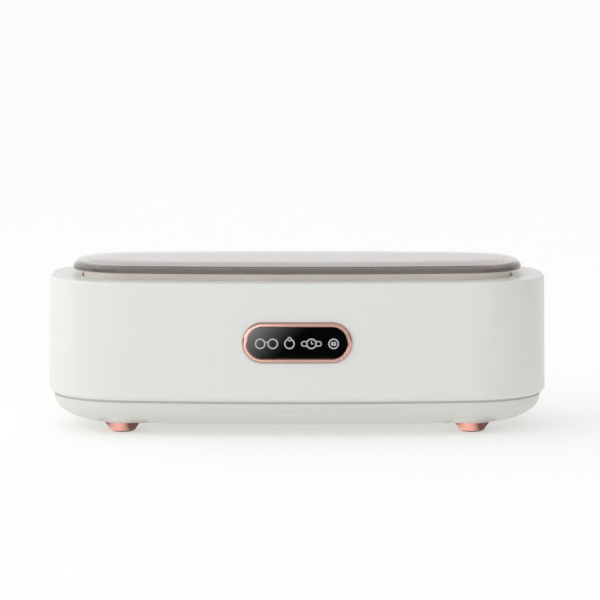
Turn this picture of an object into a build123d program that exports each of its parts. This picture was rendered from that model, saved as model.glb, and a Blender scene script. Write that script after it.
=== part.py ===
"""Household ultrasonic cleaner for jewellery, watches and glasses. All sizes are in millimetres.

The origin is on the table under the middle of the cleaner. +Z is up, the touch panel faces -Y and
the power jack faces +Y. Every closed outline of the cleaner (housing, lid, tank, base) is the same
plan, moved inwards by an "inset" measured from the widest edge of the housing.
"""

import math
import os

from build123d import *

# ---- Plan of the housing at its widest edge ----
LENGTH = 205.0
WIDTH = 95.0
SIDE_RADIUS = 600.0  # gently bowed front and back
END_RADIUS = 220.0  # gently bowed ends
CORNER_RADIUS = 36.0
CORNER_LIMIT = 0.38  # a corner's radius is never more than this share of the width

# ---- Base shell ----
FOOT_HEIGHT = 4.0  # table to the flat underside of the base
BASE_DEPTH = 10.2  # underside to rim
BASE_INSET = 2.0  # the base rim is this far inside the housing
BASE_CURVE = 15.5  # plan width of the rounded lower edge
BASE_RIM_RADIUS = 7.5  # tighter part of that curve, next to the rim
BASE_WALL = 2.2
LIP_HEIGHT = 2.8  # locating lip that stands inside the housing
LIP_CLEARANCE = 0.2

# ---- Upper housing ----
SEAM_GAP = 0.8  # shadow gap between base rim and housing
HOUSING_HEIGHT = 48.0
HOUSING_WALL = 2.4
HOUSING_DRAFT = 0.6  # inward lean of the wall over its height
HOUSING_FOOT_RADIUS = 2.1
TOP_EDGE_RADIUS = 1.1
RIM_WIDTH = 13.6  # flat top between the outer edge and the tank recess
RECESS_DEPTH = 2.5
LEDGE_WIDTH = 3.7
LEDGE_THICKNESS = 2.4

# ---- Tank ----
STEEL = 0.8
FLANGE_CLEARANCE = 0.3  # tank flange to the recess wall
GASKET_THICKNESS = 0.4
TANK_CLEARANCE = 0.7  # tank wall to the ledge's inner edge
TANK_DRAFT = 1.4
TANK_LIP_RADIUS = 2.0
TANK_FLOOR_RADIUS = 7.0
BAY_HEIGHT = 16.7  # inside of the base floor to the underside of the tank

# ---- Lid ----
LID_INSET = 10.2
LID_THICKNESS = 3.7
LID_GAP = 2.7  # housing top to the underside of the lid's rim
LID_CROWN_DROP = 0.65  # the top falls this much over the crown
LID_CROWN_WIDTH = 13.0
LID_CROWN_RADIUS = 110.0
LID_BEVEL_DROP = 1.1  # and this much more over the sloped rim
LID_BEVEL_WIDTH = 1.8
LID_BEVEL_RADIUS = 2.5
LID_EDGE_RADIUS = 1.0
LID_UNDER_RADIUS = 0.5
SKIRT_SETBACK = 4.4
SKIRT_THICKNESS = 1.8
LID_SEAT_GAP = 0.05

# ---- Basket that stands in the tank ----
BASKET_CLEARANCE = 2.0
BASKET_WALL = 1.6
BASKET_DRAFT = 1.0
BASKET_LIFT = 2.0  # tank floor to the basket's floor
BASKET_DROP = 1.0  # tank rim down to the basket's rim
BASKET_RIM = 1.0
BASKET_EDGE_RADIUS = 5.0
BASKET_FOOT_RADIUS = 2.5
HANDLE_WIDTH = 26.0
HANDLE_RISE = 3.8
SLOT_WIDTH = 3.2
SLOT_PITCH = 11.0
SLOT_COUNT = 11
SIDE_SLOT_HEIGHT = 16.0

# ---- Touch panel ----
BEZEL_LENGTH = 43.8
BEZEL_HEIGHT = 16.1
BEZEL_RIM = 1.55  # visible width of the ring
BEZEL_OUTER_RADIUS = 0.75
BEZEL_INNER_RADIUS = 0.5
PANEL_RISE = 0.2  # middle of the panel above the middle of the housing
BEZEL_PROUD = 0.8  # beyond the widest edge of the housing
BEZEL_SEAT_DEPTH = 1.3  # flat pocket behind the ring
BEZEL_COLLAR = 0.8  # wall of the collar that passes through the housing
BEZEL_LEDGE = 0.8
LENS_THICKNESS = 2.0
LENS_RECESS = 0.5
PANEL_CLEARANCE = 0.2
LENS_CLEARANCE = 0.15
ICON_DEPTH = 0.3
ICON_STROKE = 0.55
ICON_RADIUS = 2.15
ICON_DROP = 0.3  # icons sit a little below the panel's middle
ICON_PLACES = (-12.3, -3.1, 5.7, 14.6)
CELL_EDGES = (-19.5, -6.4, 0.25, 11.2, 19.5)
CELL_WALL = 0.8

# ---- Control board behind the panel ----
CONTROL_LENGTH = 60.0
CONTROL_HEIGHT = 20.0
CONTROL_THICKNESS = 1.2
CONTROL_SETBACK = 11.0  # widest edge of the housing to the board's front face
CONTROL_SCREW_X = 26.5
CONTROL_SCREW_Z = 6.5
CONTROL_BOSS_RADIUS = 2.6
COLUMN_RADIUS = 2.6
COLUMN_HOLE = 1.7
COLUMN_GAP = 0.05

# ---- Driver board in the base ----
BOARD_LENGTH = 48.0
BOARD_WIDTH = 32.0
BOARD_THICKNESS = 1.6
BOARD_LIFT = 3.4  # base floor to the board's underside
BOARD_SCREW_EDGE = 3.4
BOARD_GAP = 6.0  # transducer's edge to the board
STANDOFF_RADIUS = 2.8
CONNECTOR_HEIGHT = 5.6

# ---- Transducer ----
PIEZO_RADIUS = 17.5
PIEZO_THICKNESS = 3.0
BOND_THICKNESS = 0.25
LEAD_DIAMETER = 1.3
CABLE_DIAMETER = 2.4

# ---- Power jack ----
JACK_RISE = 10.5  # housing's lower edge to the jack's axis
JACK_FLANGE_RADIUS = 5.5
JACK_BARREL_RADIUS = 4.0
JACK_BORE_RADIUS = 3.05
JACK_BORE_DEPTH = 9.5
JACK_PIN_RADIUS = 1.0
JACK_PIN_RECESS = 1.0
JACK_NECK_RADIUS = 0.7  # the pin's thinner stem inside the jack's body
JACK_NECK = 0.5  # the stem shows this much above the bottom of the bore
JACK_LENGTH = 12.5
JACK_SEAT_DEPTH = 0.4
JACK_NUT_THICKNESS = 2.2
JACK_NUT_ACROSS = 11.0

# ---- Feet ----
FOOT_FROM_END = 31.0
FOOT_FROM_SIDE = 21.73  # measured from the bowed side, where the foot stands
FOOT_TOP_RADIUS = 7.5
FOOT_BOTTOM_RADIUS = 5.1
FOOT_SPIGOT_RADIUS = 2.5
PAD_RADIUS = 4.2
PAD_THICKNESS = 1.3
PAD_PROUD = 0.5

# ---- Screws ----
POST_INSET = 8.5
POST_RADIUS = 4.4
BOSS_RADIUS = 3.4
CASE_SCREW_RADIUS = 1.2
CASE_SCREW_LENGTH = 11.0
SMALL_SCREW_RADIUS = 0.9
SMALL_SCREW_LENGTH = 5.0
SCREW_CLEARANCE = 0.05
COUNTERBORE_CLEARANCE = 0.3
CAP_CLEARANCE = 0.05

# ---- Levels and places that follow from the sizes above ----
HALF_LENGTH = LENGTH / 2
HALF_WIDTH = WIDTH / 2
CORNER_FILLET = min(CORNER_RADIUS, CORNER_LIMIT * WIDTH)
BASE_Z = FOOT_HEIGHT
BASE_FLOOR_Z = BASE_Z + BASE_WALL
RIM_Z = BASE_Z + BASE_DEPTH
HOUSING_Z = RIM_Z + SEAM_GAP
TOP_Z = HOUSING_Z + HOUSING_HEIGHT
RECESS_Z = TOP_Z - RECESS_DEPTH
OPENING_INSET = RIM_WIDTH + LEDGE_WIDTH
FLANGE_Z = RECESS_Z + GASKET_THICKNESS
SEAT_Z = FLANGE_Z + STEEL
TANK_BOTTOM_Z = BASE_FLOOR_Z + BAY_HEIGHT
TANK_INSET = OPENING_INSET + TANK_CLEARANCE
TANK_FLAT_INSET = TANK_INSET + TANK_DRAFT + STEEL + TANK_FLOOR_RADIUS
LID_Z = TOP_Z + LID_GAP
LID_TOP_Z = LID_Z + LID_THICKNESS
PANEL_Z = HOUSING_Z + HOUSING_HEIGHT / 2 + PANEL_RISE
CONTROL_Y = CONTROL_SETBACK - HALF_WIDTH
LENS_Y = LENS_RECESS - HALF_WIDTH - BEZEL_PROUD
LENS_BACK_Y = LENS_Y + LENS_THICKNESS
BOARD_Z = BASE_FLOOR_Z + BOARD_LIFT
BOARD_TOP_Z = BOARD_Z + BOARD_THICKNESS
BOARD_X = PIEZO_RADIUS + BOARD_GAP
LEAD_Z = BOARD_TOP_Z + CONNECTOR_HEIGHT / 2
PIEZO_TOP_Z = TANK_BOTTOM_Z - BOND_THICKNESS
PIEZO_Z = PIEZO_TOP_Z - PIEZO_THICKNESS
JACK_Z = HOUSING_Z + JACK_RISE
JACK_Y = HALF_WIDTH + BEZEL_PROUD
FOOT_X = HALF_LENGTH - FOOT_FROM_END
SIDE_BOW = SIDE_RADIUS - math.sqrt(SIDE_RADIUS**2 - FOOT_X**2)
FOOT_Y = HALF_WIDTH - SIDE_BOW - FOOT_FROM_SIDE
OVERLAP = 2.0  # how far pieces of one solid run into each other before they are joined


# ---- The plan: eight tangent arcs ----
def arc_centres():
    """Centres of the back, right-hand end and back right corner arcs."""
    back = Vector(0, HALF_WIDTH - SIDE_RADIUS)
    end = Vector(HALF_LENGTH - END_RADIUS, 0)
    to_back = SIDE_RADIUS - CORNER_FILLET
    to_end = END_RADIUS - CORNER_FILLET
    apart = (end - back).length
    along = (to_back**2 - to_end**2 + apart**2) / (2 * apart)
    aside = math.sqrt(to_back**2 - along**2)
    way = (end - back).normalized()
    foot = back + way * along
    return back, end, foot + Vector(way.Y, -way.X) * aside


BACK_CENTRE, END_CENTRE, CORNER_CENTRE = arc_centres()
if CORNER_CENTRE.X < 0:
    raise ValueError("the corner arc doesn't fit between the side and the end")
TO_SIDE = (CORNER_CENTRE - BACK_CENTRE).normalized()
TO_END = (CORNER_CENTRE - END_CENTRE).normalized()
TO_CORNER = (TO_SIDE + TO_END).normalized()


def on_arc(centre, radius, way, inset):
    return centre + way * (radius - inset)


def mirrored(points, x_sign, y_sign, z):
    return [Vector(p.X * x_sign, p.Y * y_sign, z) for p in points]


def outline(inset, z=0.0):
    """The closed plan, moved inwards by inset. It starts and ends in the middle of the back."""
    middle = Vector(0, HALF_WIDTH - inset)
    side_end = on_arc(CORNER_CENTRE, CORNER_FILLET, TO_SIDE, inset)
    corner = on_arc(CORNER_CENTRE, CORNER_FILLET, TO_CORNER, inset)
    end_start = on_arc(CORNER_CENTRE, CORNER_FILLET, TO_END, inset)
    tip = Vector(HALF_LENGTH - inset, 0)
    half_way = (TO_SIDE + Vector(0, 1)).normalized()
    half_side = [middle, on_arc(BACK_CENTRE, SIDE_RADIUS, half_way, inset), side_end]
    turn = [side_end, corner, end_start]
    arcs = [
        mirrored(half_side, 1, 1, z),
        mirrored(turn, 1, 1, z),
        [*mirrored([end_start, tip], 1, 1, z), *mirrored([end_start], 1, -1, z)],
        mirrored(turn[::-1], 1, -1, z),
        [*mirrored([side_end, middle], 1, -1, z), *mirrored([side_end], -1, -1, z)],
        mirrored(turn, -1, -1, z),
        [*mirrored([end_start], -1, -1, z), *mirrored([tip, end_start], -1, 1, z)],
        mirrored(turn[::-1], -1, 1, z),
        mirrored(half_side[::-1], -1, 1, z),
    ]
    return Wire([ThreePointArc(*points) for points in arcs])


def slab(inset, z_low, z_high):
    """A flat plate with the plan's outline."""
    plate = extrude(Face(outline(inset, z_low)), z_high - z_low, dir=(0, 0, 1))
    return plate


def ring(*corners):
    """A closed profile of (inset, z, corner radius) swept round the plan."""
    points = [(0, HALF_WIDTH - inset, z) for inset, z, _ in corners]
    profile = FilletPolyline(*points, radius=[c[2] for c in corners], close=True)
    return sweep(Face(Wire(profile.edges())), outline(0))


# ---- Small helpers ----
def block(x_low, x_high, y_low, y_high, z_low, z_high):
    box = Box(x_high - x_low, y_high - y_low, z_high - z_low)
    return Pos((x_low + x_high) / 2, (y_low + y_high) / 2, (z_low + z_high) / 2) * box


def upright(radius, x, y, z_low, z_high):
    return Pos(x, y, (z_low + z_high) / 2) * Cylinder(radius, z_high - z_low)


def along_y(radius, x, z, y_low, y_high):
    turned = Rot(90, 0, 0) * Cylinder(radius, y_high - y_low)
    return Pos(x, (y_low + y_high) / 2, z) * turned


def facing_front(sketch, x, z, y_front, thickness):
    """A sketch drawn as seen from the front, given thickness backwards from y_front."""
    plane = Plane(origin=(x, y_front, z), x_dir=(1, 0, 0), z_dir=(0, -1, 0))
    return extrude(plane * sketch, -thickness)


def pill(length, height):
    return SlotOverall(length, height)


def group(solids):
    return Compound(children=list(solids))


def four_corners(x, y):
    return [(x * sx, y * sy) for sx in (-1, 1) for sy in (-1, 1)]


def corner_posts():
    """Where the four case screws stand."""
    place = on_arc(CORNER_CENTRE, CORNER_FILLET, TO_CORNER, POST_INSET)
    return four_corners(place.X, place.Y)


def wall_inset(z):
    """Inset of the housing's outer face at height z."""
    return HOUSING_DRAFT * (z - HOUSING_Z) / HOUSING_HEIGHT


def tube(diameter, points, radii):
    """A round wire along straight runs joined by tangent arcs."""
    path = FilletPolyline(*points, radius=radii)
    start = Vector(*points[0])
    way = Vector(*points[1]) - start
    return sweep(Plane(origin=start, z_dir=way) * Circle(diameter / 2), path)


def pan_head_screw(radius, length, head_radius, head_height):
    """A cross-head screw, head up at z = 0 to head_height, shank downwards."""
    head = Pos(0, 0, head_height / 2) * Cylinder(head_radius, head_height)
    head = fillet(head.edges().group_by(Axis.Z)[-1], head_height * 0.45)
    shank = Pos(0, 0, -length / 2) * Cylinder(radius, length)
    tip = shank.edges().group_by(Axis.Z)[0]
    shank = chamfer(tip, radius * 0.4)
    slot_width = head_radius * 0.28
    slot_length = head_radius * 1.1
    slot_depth = head_height * 0.55
    cross = Box(slot_length, slot_width, slot_depth) + Box(slot_width, slot_length, slot_depth)
    return head + shank - Pos(0, 0, head_height - slot_depth / 2) * cross


CASE_HEAD_RADIUS = CASE_SCREW_RADIUS * 2.1
CASE_HEAD_HEIGHT = CASE_SCREW_RADIUS * 1.6
SMALL_HEAD_RADIUS = SMALL_SCREW_RADIUS * 2.1
SMALL_HEAD_HEIGHT = SMALL_SCREW_RADIUS * 1.5
CASE_SEAT_Z = HOUSING_Z + LIP_HEIGHT - OVERLAP - CASE_SCREW_LENGTH / 3


# ---- Base shell ----
def lower_edge(skin):
    """Two tangent arcs, tight at the rim and easier towards the floor, moved inwards by skin."""
    centre_y = HALF_WIDTH - BASE_INSET - BASE_CURVE
    width, depth, tight = BASE_CURVE - skin, BASE_DEPTH - skin, BASE_RIM_RADIUS - skin
    easy = ((width - tight) ** 2 + depth**2 - tight**2) / (2 * (depth - tight))
    rim_centre = Vector(0, centre_y + width - tight, RIM_Z)
    floor_centre = Vector(0, centre_y, RIM_Z - depth + easy)
    out, down = Vector(0, 1, 0), Vector(0, 0, -1)
    joint = (rim_centre - floor_centre).normalized()
    middle = rim_centre + (joint + out).normalized() * tight
    low_middle = floor_centre + (joint + down).normalized() * easy
    meeting = rim_centre + joint * tight
    rim_arc = ThreePointArc(rim_centre + out * tight, middle, meeting)
    return [rim_arc, ThreePointArc(meeting, low_middle, floor_centre + down * easy)]


def base_form(skin, top):
    """The base's outer form, shrunk by skin: a dish with a rounded lower edge."""
    centre_inset = BASE_INSET + BASE_CURVE
    core_inset = centre_inset + OVERLAP * 2
    outer_y = HALF_WIDTH - BASE_INSET - skin
    centre_y = HALF_WIDTH - centre_inset
    core_y = HALF_WIDTH - core_inset
    bottom = BASE_Z + skin
    corners = [
        (0, outer_y, RIM_Z),
        (0, outer_y, top),
        (0, core_y, top),
        (0, core_y, bottom),
        (0, centre_y, bottom),
    ]
    profile = Face(Wire([*lower_edge(skin), *Polyline(*corners).edges()]))
    return sweep(profile, outline(0)) + slab(core_inset - OVERLAP, bottom, top)


def dish():
    """The base's wall with its locating lip, swept in one piece round a flat floor."""
    lip_out = HOUSING_WALL + wall_inset(RIM_Z + LIP_HEIGHT) + LIP_CLEARANCE
    lip_y = HALF_WIDTH - lip_out
    inner_y = HALF_WIDTH - BASE_INSET - BASE_WALL
    centre_y = HALF_WIDTH - BASE_INSET - BASE_CURVE
    core_y = centre_y - OVERLAP * 2
    rim = Polyline(
        (0, HALF_WIDTH - BASE_INSET, RIM_Z),
        (0, lip_y, RIM_Z),
        (0, lip_y, RIM_Z + LIP_HEIGHT),
        (0, inner_y, RIM_Z + LIP_HEIGHT),
        (0, inner_y, RIM_Z),
    )
    floor = Polyline(
        (0, centre_y, BASE_FLOOR_Z),
        (0, core_y, BASE_FLOOR_Z),
        (0, core_y, BASE_Z),
        (0, centre_y, BASE_Z),
    )
    edges = [*lower_edge(0), *rim.edges(), *lower_edge(BASE_WALL), *floor.edges()]
    wall = sweep(Face(Wire(edges)), outline(0))
    return wall + slab(HALF_WIDTH - core_y - OVERLAP, BASE_Z, BASE_FLOOR_Z)


def base_shell():
    shell = dish()
    post_top = HOUSING_Z + LIP_HEIGHT - OVERLAP
    inside = base_form(BASE_WALL / 2, post_top)
    for x, y in corner_posts():
        shell += upright(POST_RADIUS, x, y, BASE_Z, post_top) & inside
    for x, y in corner_posts():
        shell -= upright(CASE_SCREW_RADIUS + COUNTERBORE_CLEARANCE, x, y, BASE_Z - 1, post_top + 1)
        shell -= upright(CASE_HEAD_RADIUS + COUNTERBORE_CLEARANCE, x, y, BASE_Z - 1, CASE_SEAT_Z)
    for x, y in four_corners(FOOT_X, FOOT_Y):
        shell += upright(FOOT_TOP_RADIUS, x, y, BASE_Z, BASE_FLOOR_Z)
    for x, y in four_corners(FOOT_X, FOOT_Y):
        hole = FOOT_SPIGOT_RADIUS + LENS_CLEARANCE
        shell -= upright(hole, x, y, BASE_Z - 1, BASE_FLOOR_Z + 1)
    for x, y in board_screw_places():
        shell += upright(STANDOFF_RADIUS, x, y, BASE_FLOOR_Z - 1, BOARD_Z)
    for x, y in board_screw_places():
        pilot = SMALL_SCREW_RADIUS + SCREW_CLEARANCE
        shell -= upright(pilot, x, y, BASE_FLOOR_Z - 1, BOARD_Z + 1)
    return shell


def feet():
    """Tapered metal cups with a spigot through the base floor."""
    rim_z = PAD_PROUD
    body = Pos(0, 0, (rim_z + BASE_Z) / 2) * Cone(
        FOOT_BOTTOM_RADIUS, FOOT_TOP_RADIUS, BASE_Z - rim_z
    )
    body = fillet(body.edges().group_by(Axis.Z)[0], 0.3)
    body += upright(FOOT_SPIGOT_RADIUS, 0, 0, BASE_Z - 1, BASE_FLOOR_Z)
    body -= upright(PAD_RADIUS + LENS_CLEARANCE, 0, 0, 0, PAD_THICKNESS)
    body -= upright(CASE_SCREW_RADIUS + SCREW_CLEARANCE, 0, 0, PAD_THICKNESS - 1, BASE_Z + BASE_DEPTH)
    pad = upright(PAD_RADIUS, 0, 0, 0, PAD_THICKNESS)
    pad = fillet(pad.edges().group_by(Axis.Z)[0], 0.3)
    made = {}
    names = ("front_left", "back_left", "front_right", "back_right")
    for name, (x, y) in zip(names, four_corners(FOOT_X, FOOT_Y)):
        made[f"foot_{name}"] = Pos(x, y, 0) * body
        made[f"foot_pad_{name}"] = Pos(x, y, 0) * pad
    return made


def foot_screws():
    length = BASE_FLOOR_Z - PAD_THICKNESS - 0.4
    screw = pan_head_screw(CASE_SCREW_RADIUS, length, FOOT_SPIGOT_RADIUS + 0.9, CASE_HEAD_HEIGHT)
    return group(Pos(x, y, BASE_FLOOR_Z) * screw for x, y in four_corners(FOOT_X, FOOT_Y))


def case_screws():
    screw = pan_head_screw(CASE_SCREW_RADIUS, CASE_SCREW_LENGTH, CASE_HEAD_RADIUS, CASE_HEAD_HEIGHT)
    upside_down = Rot(180, 0, 0) * screw
    return group(Pos(x, y, CASE_SEAT_Z) * upside_down for x, y in corner_posts())


def screw_caps():
    """Plugs that close the screw holes flush with the base's rounded edge."""
    radius = CASE_HEAD_RADIUS + COUNTERBORE_CLEARANCE - CAP_CLEARANCE
    skin = base_form(0, HOUSING_Z)
    caps = []
    for x, y in corner_posts():
        plug = upright(radius, x, y, BASE_Z, cap_top()) & skin
        caps.extend(plug.solids())
    return group(caps)


def cap_top():
    return CASE_SEAT_Z - CASE_HEAD_HEIGHT - 0.4


# ---- Upper housing ----
def upper_housing():
    top_in = HOUSING_WALL + HOUSING_DRAFT
    under_top = TOP_Z - HOUSING_WALL
    ledge_z = RECESS_Z - LEDGE_THICKNESS
    shell = ring(
        (HOUSING_DRAFT, TOP_Z, TOP_EDGE_RADIUS),
        (0, HOUSING_Z, HOUSING_FOOT_RADIUS),
        (HOUSING_WALL, HOUSING_Z, 0),
        (top_in, under_top, 1.0),
        (RIM_WIDTH - HOUSING_WALL, under_top, 0),
        (RIM_WIDTH - HOUSING_WALL, ledge_z, 0),
        (OPENING_INSET, ledge_z, 0.3),
        (OPENING_INSET, RECESS_Z, 0.3),
        (RIM_WIDTH, RECESS_Z, 0),
        (RIM_WIDTH, TOP_Z, 0.5),
    )
    boss_z = HOUSING_Z + LIP_HEIGHT - OVERLAP
    for x, y in corner_posts():
        shell += upright(BOSS_RADIUS, x, y, boss_z, under_top + 1)
    for x, y in corner_posts():
        pilot = CASE_SCREW_RADIUS + SCREW_CLEARANCE
        shell -= upright(pilot, x, y, boss_z - 1, CASE_SEAT_Z + CASE_SCREW_LENGTH + 1)
    wall_y = wall_inset(PANEL_Z) + HOUSING_WALL - HALF_WIDTH
    for x, z in four_corners(CONTROL_SCREW_X, CONTROL_SCREW_Z):
        shell += along_y(CONTROL_BOSS_RADIUS, x, PANEL_Z + z, wall_y - 1, CONTROL_Y)
    for x, z in four_corners(CONTROL_SCREW_X, CONTROL_SCREW_Z):
        pilot = SMALL_SCREW_RADIUS + SCREW_CLEARANCE
        shell -= along_y(pilot, x, PANEL_Z + z, CONTROL_Y - SMALL_SCREW_LENGTH, CONTROL_Y + 1)
    shell -= panel_cutout()
    shell -= jack_cutout()
    return shell


def panel_cutout():
    """Pocket for the bezel's ring and a through window for its collar."""
    grow = 2 * PANEL_CLEARANCE
    front_y = -HALF_WIDTH - 1
    pocket = pill(BEZEL_LENGTH + grow, BEZEL_HEIGHT + grow)
    window = pill(*(size + grow for size in collar_size()))
    pocket_depth = BEZEL_SEAT_DEPTH + 1
    window_depth = HOUSING_WALL + HOUSING_DRAFT + OVERLAP
    cut = facing_front(pocket, 0, PANEL_Z, front_y, pocket_depth)
    return cut + facing_front(window, 0, PANEL_Z, front_y, window_depth)


def jack_cutout():
    """Flat seat for the jack's flange and a hole for its barrel."""
    seat_y = HALF_WIDTH - JACK_SEAT_DEPTH
    seat = along_y(JACK_FLANGE_RADIUS + PANEL_CLEARANCE, 0, JACK_Z, seat_y, JACK_Y)
    inner_y = HALF_WIDTH - HOUSING_WALL - HOUSING_DRAFT - 1
    return seat + along_y(JACK_BARREL_RADIUS + PANEL_CLEARANCE, 0, JACK_Z, inner_y, JACK_Y)


# ---- Tank, gasket and transducer ----
def tank():
    flange_inset = RIM_WIDTH + FLANGE_CLEARANCE
    foot_inset = TANK_INSET + TANK_DRAFT
    core_inset = TANK_FLAT_INSET + OVERLAP / 2
    floor_z = TANK_BOTTOM_Z + STEEL
    shell = ring(
        (flange_inset, FLANGE_Z, 0),
        (TANK_INSET, FLANGE_Z, TANK_LIP_RADIUS - STEEL),
        (foot_inset, TANK_BOTTOM_Z, TANK_FLOOR_RADIUS + STEEL),
        (core_inset, TANK_BOTTOM_Z, 0),
        (core_inset, floor_z, 0),
        (foot_inset + STEEL, floor_z, TANK_FLOOR_RADIUS),
        (TANK_INSET + STEEL, SEAT_Z, TANK_LIP_RADIUS),
        (flange_inset, SEAT_Z, 0.3),
    )
    return shell + slab(core_inset - OVERLAP / 4, TANK_BOTTOM_Z, floor_z)


def tank_gasket():
    outer = RIM_WIDTH + FLANGE_CLEARANCE + 0.3
    inner = OPENING_INSET - 0.6
    return ring(
        (outer, RECESS_Z, 0),
        (outer, FLANGE_Z, 0),
        (inner, FLANGE_Z, 0),
        (inner, RECESS_Z, 0),
    )


def piezo_bond():
    return upright(PIEZO_RADIUS, 0, 0, PIEZO_TOP_Z, TANK_BOTTOM_Z)


def piezo_disc():
    disc = upright(PIEZO_RADIUS, 0, 0, PIEZO_Z, PIEZO_TOP_Z)
    return chamfer(disc.edges().group_by(Axis.Z)[0], 0.3)


def piezo_leads():
    """Two insulated leads from the disc's underside to the driver board."""
    start_x = PIEZO_RADIUS / 2
    leads = []
    for y in (-LEAD_DIAMETER, LEAD_DIAMETER):
        route = [(start_x, y, PIEZO_Z), (start_x, y, LEAD_Z), (BOARD_X, y, LEAD_Z)]
        leads.append(tube(LEAD_DIAMETER, route, [2.0]))
    return group(leads)


# ---- Basket ----
def basket():
    """Slotted plastic basket with a raised hand grip at each end."""
    low_inset = TANK_INSET + TANK_DRAFT + STEEL + BASKET_CLEARANCE
    high_inset = low_inset - BASKET_DRAFT
    floor_z = TANK_BOTTOM_Z + STEEL + BASKET_LIFT
    floor_top = floor_z + BASKET_WALL
    rim_z = SEAT_Z - BASKET_DROP
    core = low_inset + BASKET_EDGE_RADIUS + OVERLAP
    body = ring(
        (high_inset - BASKET_RIM, rim_z, 0.5),
        (high_inset - BASKET_RIM, rim_z - BASKET_WALL, 0.5),
        (high_inset, rim_z - BASKET_WALL, 0),
        (low_inset, floor_z, BASKET_EDGE_RADIUS),
        (core, floor_z, 0),
        (core, floor_top, 0),
        (low_inset + BASKET_WALL, floor_top, BASKET_EDGE_RADIUS - BASKET_WALL),
        (high_inset + BASKET_WALL, rim_z, 0.5),
    )
    body += slab(core - OVERLAP / 2, floor_z, floor_top)
    end_x = HALF_LENGTH - high_inset - BASKET_WALL
    for side in (-1, 1):
        body += Pos(side * end_x, 0, 0) * basket_grip(rim_z)
    slot_z = floor_top + (rim_z - floor_top) / 2
    side_slot = SlotOverall(SIDE_SLOT_HEIGHT, SLOT_WIDTH, rotation=90)
    for x in slot_places():
        body -= facing_front(side_slot, x, slot_z, -HALF_WIDTH, WIDTH)
    floor_slot = SlotOverall(WIDTH / 2 - low_inset, SLOT_WIDTH, rotation=90)
    for x in slot_places():
        for side in (-1, 1):
            place = Pos(x, side * (HALF_WIDTH - low_inset) * 0.46, floor_z - 1)
            body -= place * extrude(floor_slot, BASKET_WALL + 2)
    foot_z = TANK_BOTTOM_Z + STEEL + LID_SEAT_GAP
    half_run = SLOT_PITCH * (SLOT_COUNT - 1) / 2 - SLOT_PITCH / 2
    for x, y in four_corners(half_run, (HALF_WIDTH - low_inset) * 0.46):
        body += upright(BASKET_FOOT_RADIUS, x, y, foot_z, floor_z + BASKET_WALL / 2)
    return body


def slot_places():
    return [SLOT_PITCH * (i - (SLOT_COUNT - 1) / 2) for i in range(SLOT_COUNT)]


def basket_grip(rim_z):
    """An arched plate that stands up across the end of the basket."""
    plane = Plane(origin=(0, 0, rim_z), x_dir=(0, 1, 0), z_dir=(1, 0, 0))
    arch = RectangleRounded(HANDLE_WIDTH, HANDLE_RISE * 2, HANDLE_RISE * 0.8)
    return extrude(plane * arch, BASKET_WALL / 2, both=True)


# ---- Lid ----
def lid_cover():
    """A clear plate with a low crown and a sloped rim."""
    core = LID_INSET + LID_CROWN_WIDTH + OVERLAP * 2
    crown_z = LID_TOP_Z - LID_CROWN_DROP
    cover = ring(
        (LID_INSET + LID_CROWN_WIDTH, LID_TOP_Z, LID_CROWN_RADIUS),
        (LID_INSET + LID_BEVEL_WIDTH, crown_z, LID_BEVEL_RADIUS),
        (LID_INSET, crown_z - LID_BEVEL_DROP, LID_EDGE_RADIUS),
        (LID_INSET, LID_Z, LID_UNDER_RADIUS),
        (core, LID_Z, 0),
        (core, LID_TOP_Z, 0),
    )
    return cover + slab(core - OVERLAP, LID_Z, LID_TOP_Z)


def lid_skirt():
    """Frosted ring bonded under the plate, which rests on the tank's flange."""
    outside = LID_INSET + SKIRT_SETBACK
    inside = outside + SKIRT_THICKNESS
    skirt_z = SEAT_Z + LID_SEAT_GAP
    return ring(
        (outside, LID_Z, 0),
        (outside, skirt_z, 0.4),
        (inside, skirt_z, 0.4),
        (inside, LID_Z, 0),
    )


# ---- Touch panel ----
def collar_size():
    shrink = 2 * (BEZEL_RIM - BEZEL_COLLAR)
    return BEZEL_LENGTH - shrink, BEZEL_HEIGHT - shrink


def panel_bezel():
    """A rounded ring with a collar through the housing and a ledge that the lens is bonded to."""
    front_y = -HALF_WIDTH - BEZEL_PROUD
    seat_y = BEZEL_SEAT_DEPTH - HALF_WIDTH
    back_y = LENS_BACK_Y + BEZEL_LEDGE
    bore = (BEZEL_LENGTH - 2 * BEZEL_RIM, BEZEL_HEIGHT - 2 * BEZEL_RIM)
    window = (bore[0] - 2 * BEZEL_LEDGE, bore[1] - 2 * BEZEL_LEDGE)
    flange = facing_front(pill(BEZEL_LENGTH, BEZEL_HEIGHT), 0, PANEL_Z, front_y, seat_y - front_y)
    collar = facing_front(pill(*collar_size()), 0, PANEL_Z, front_y, back_y - front_y)
    body = flange + collar
    body -= facing_front(pill(*bore), 0, PANEL_Z, front_y, LENS_BACK_Y - front_y)
    body -= facing_front(pill(*window), 0, PANEL_Z, front_y, back_y - front_y)
    front = body.faces().sort_by(Axis.Y)[0]
    outer_edges = front.outer_wire().edges()
    inner_edges = front.inner_wires()[0].edges()
    body = fillet(outer_edges, BEZEL_OUTER_RADIUS)
    front = body.faces().filter_by(Axis.Y).sort_by(Axis.Y)[0]
    inner_edges = front.inner_wires()[0].edges()
    return fillet(inner_edges, BEZEL_INNER_RADIUS)


def ring_of(radius, stroke=ICON_STROKE):
    return Circle(radius) - Circle(radius - stroke)


def glasses_icon():
    spread = ICON_RADIUS + ICON_STROKE / 2 + 0.1
    lenses = Pos(-spread, 0) * ring_of(ICON_RADIUS) + Pos(spread, 0) * ring_of(ICON_RADIUS)
    bridge = Rectangle((spread - ICON_RADIUS) * 2 + ICON_STROKE, ICON_STROKE * 0.8)
    return lenses + Pos(0, ICON_RADIUS * 0.3) * bridge


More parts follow.
